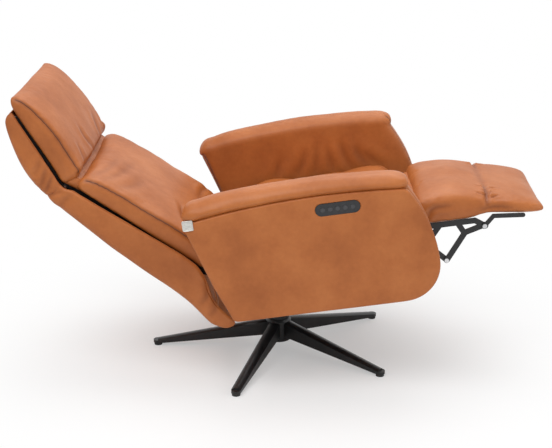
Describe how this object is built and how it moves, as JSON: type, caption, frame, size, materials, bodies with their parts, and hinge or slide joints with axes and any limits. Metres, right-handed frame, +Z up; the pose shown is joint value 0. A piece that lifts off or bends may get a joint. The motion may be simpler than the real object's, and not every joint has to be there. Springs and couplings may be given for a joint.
{
  "type": "recliner",
  "caption": "Swivel recliner in tan leather on a black star base, with a powered back, headrest and flip-out leg rest, drawn fully reclined.",
  "frame": {"origin": "The centre of the bounding box on the floor, within a few millimetres of the swivel axis.", "axes": "+X points to the front of the chair, +Y to the left of a person sitting in it and +Z up."},
  "size_m": [1.4839, 0.7432, 0.826],
  "materials": {
    "black_metal": "satin",
    "bright_steel": "brushed",
    "bush_plastic": "matte",
    "glide_rubber": "matte",
    "leather": "satin",
    "wood": "matte",
    "webbing": "matte",
    "motor_plastic": "matte",
    "key_plastic": "gloss",
    "tag_metal": "satin"
  },
  "bodies": {
    "base": {"star_base": "black_metal", "foot_glides": "glide_rubber", "column_tube": "black_metal", "column_bushes": "bush_plastic", "thrust_washer": "bush_plastic"},
    "carriage": {"swivel_spindle": "bright_steel", "spindle_clip": "bright_steel", "swivel_plate": "black_metal", "plate_bolts": "bright_steel"},
    "seat": {"tilt_shaft": "bright_steel", "tilt_washers": "bush_plastic", "seat_frame": "black_metal", "arm_bolts": "bright_steel", "mechanism_plate_left": "black_metal", "mechanism_plate_right": "black_metal", "seat_rails": "wood", "seat_webbing": "webbing", "seat_cushion": "leather", "back_pins": "bright_steel", "back_actuator": "motor_plastic", "arm_core_left": "leather", "arm_core_right": "leather", "arm_panel_left": "leather", "arm_panel_right": "leather", "arm_pad_left": "leather", "arm_pad_right": "leather", "keypad_housing": "motor_plastic", "arm_tag": "tag_metal", "foot_gearbox": "motor_plastic", "foot_motor": "motor_plastic", "control_box": "motor_plastic", "power_inlet": "motor_plastic"},
    "back": {"back_frame": "black_metal", "back_shell": "leather", "back_board": "wood", "back_cushion": "leather", "crank_pin": "bright_steel", "head_pins": "bright_steel"},
    "head": {"head_frame": "black_metal", "head_shell": "leather", "head_board": "wood", "headrest_cushion": "leather"},
    "drive_arm": {"drive_arms": "black_metal", "knee_rivets": "bright_steel"},
    "cross_link": {"cross_link_left": "black_metal", "cross_link_right": "black_metal"},
    "leg_rest": {"rest_frame": "black_metal", "rest_board": "wood", "rest_cushion": "leather", "toe_rivets": "bright_steel"},
    "flap": {"flap_bracket_left": "black_metal", "flap_bracket_right": "black_metal", "flap_board": "wood", "flap_cushion": "leather"},
    "rod": {"back_rod": "bright_steel"},
    "key_1_body": {"key_1": "key_plastic"},
    "key_2_body": {"key_2": "key_plastic"},
    "key_3_body": {"key_3": "key_plastic"},
    "key_4_body": {"key_4": "key_plastic"},
    "key_5_body": {"key_5": "key_plastic"}
  },
  "joints": [
    {"name": "base_swivel", "type": "hinge", "parent": "base", "child": "carriage", "pos_m": [0, 0, 0.168], "axis": [0, 0, 1], "continuous": true},
    {"name": "seat_tilt", "type": "hinge", "parent": "carriage", "child": "seat", "pos_m": [-0.005, 0, 0.2], "axis": [0, 1, 0], "range_deg": [0, 8]},
    {"name": "back_recline", "type": "hinge", "parent": "seat", "child": "back", "pos_m": [-0.13558, 0, 0.30283], "axis": [0, 1, 0], "range_deg": [0, 32]},
    {"name": "headrest_tilt", "type": "hinge", "parent": "back", "child": "head", "pos_m": [-0.58484, 0, 0.56639], "axis": [0, 1, 0], "range_deg": [-25, 5]},
    {"name": "footrest_swing", "type": "hinge", "parent": "seat", "child": "leg_rest", "pos_m": [0.38165, 0, 0.45227], "axis": [0, 1, 0], "range_deg": [0, 86]},
    {"name": "drive_arm_swing", "type": "hinge", "parent": "seat", "child": "drive_arm", "pos_m": [0.29116, 0, 0.33453], "axis": [0, 1, 0], "range_deg": [0, 91.7]},
    {"name": "cross_link_swing", "type": "hinge", "parent": "drive_arm", "child": "cross_link", "pos_m": [0.47785, 0, 0.34259], "axis": [0, 1, 0], "range_deg": [-93.1, 0]},
    {"name": "flap_swing", "type": "hinge", "parent": "leg_rest", "child": "flap", "pos_m": [0.57808, 0, 0.44857], "axis": [0, 1, 0], "range_deg": [0, 54.1]},
    {"name": "back_rod_slide", "type": "slide", "parent": "seat", "child": "rod", "axis": [0.9903, 0, 0.1392], "range_m": [-0.026, 0]},
    {"name": "key_1_press", "type": "slide", "parent": "seat", "child": "key_1_body", "axis": [0, 1, 0], "range_m": [0, 0.001], "stiffness_N_per_m": 300},
    {"name": "key_2_press", "type": "slide", "parent": "seat", "child": "key_2_body", "axis": [0, 1, 0], "range_m": [0, 0.001], "stiffness_N_per_m": 300},
    {"name": "key_3_press", "type": "slide", "parent": "seat", "child": "key_3_body", "axis": [0, 1, 0], "range_m": [0, 0.001], "stiffness_N_per_m": 300},
    {"name": "key_4_press", "type": "slide", "parent": "seat", "child": "key_4_body", "axis": [0, 1, 0], "range_m": [0, 0.001], "stiffness_N_per_m": 300},
    {"name": "key_5_press", "type": "slide", "parent": "seat", "child": "key_5_body", "axis": [0, 1, 0], "range_m": [0, 0.001], "stiffness_N_per_m": 300}
  ],
  "couplings": [
    {"joint": "drive_arm_swing", "follows": "footrest_swing", "ratio": 1.065},
    {"joint": "cross_link_swing", "follows": "footrest_swing", "ratio": -1.0812},
    {"joint": "flap_swing", "follows": "footrest_swing", "ratio": 0.62791},
    {"joint": "back_rod_slide", "follows": "back_recline", "m_per_rad": -0.0444}
  ]
}
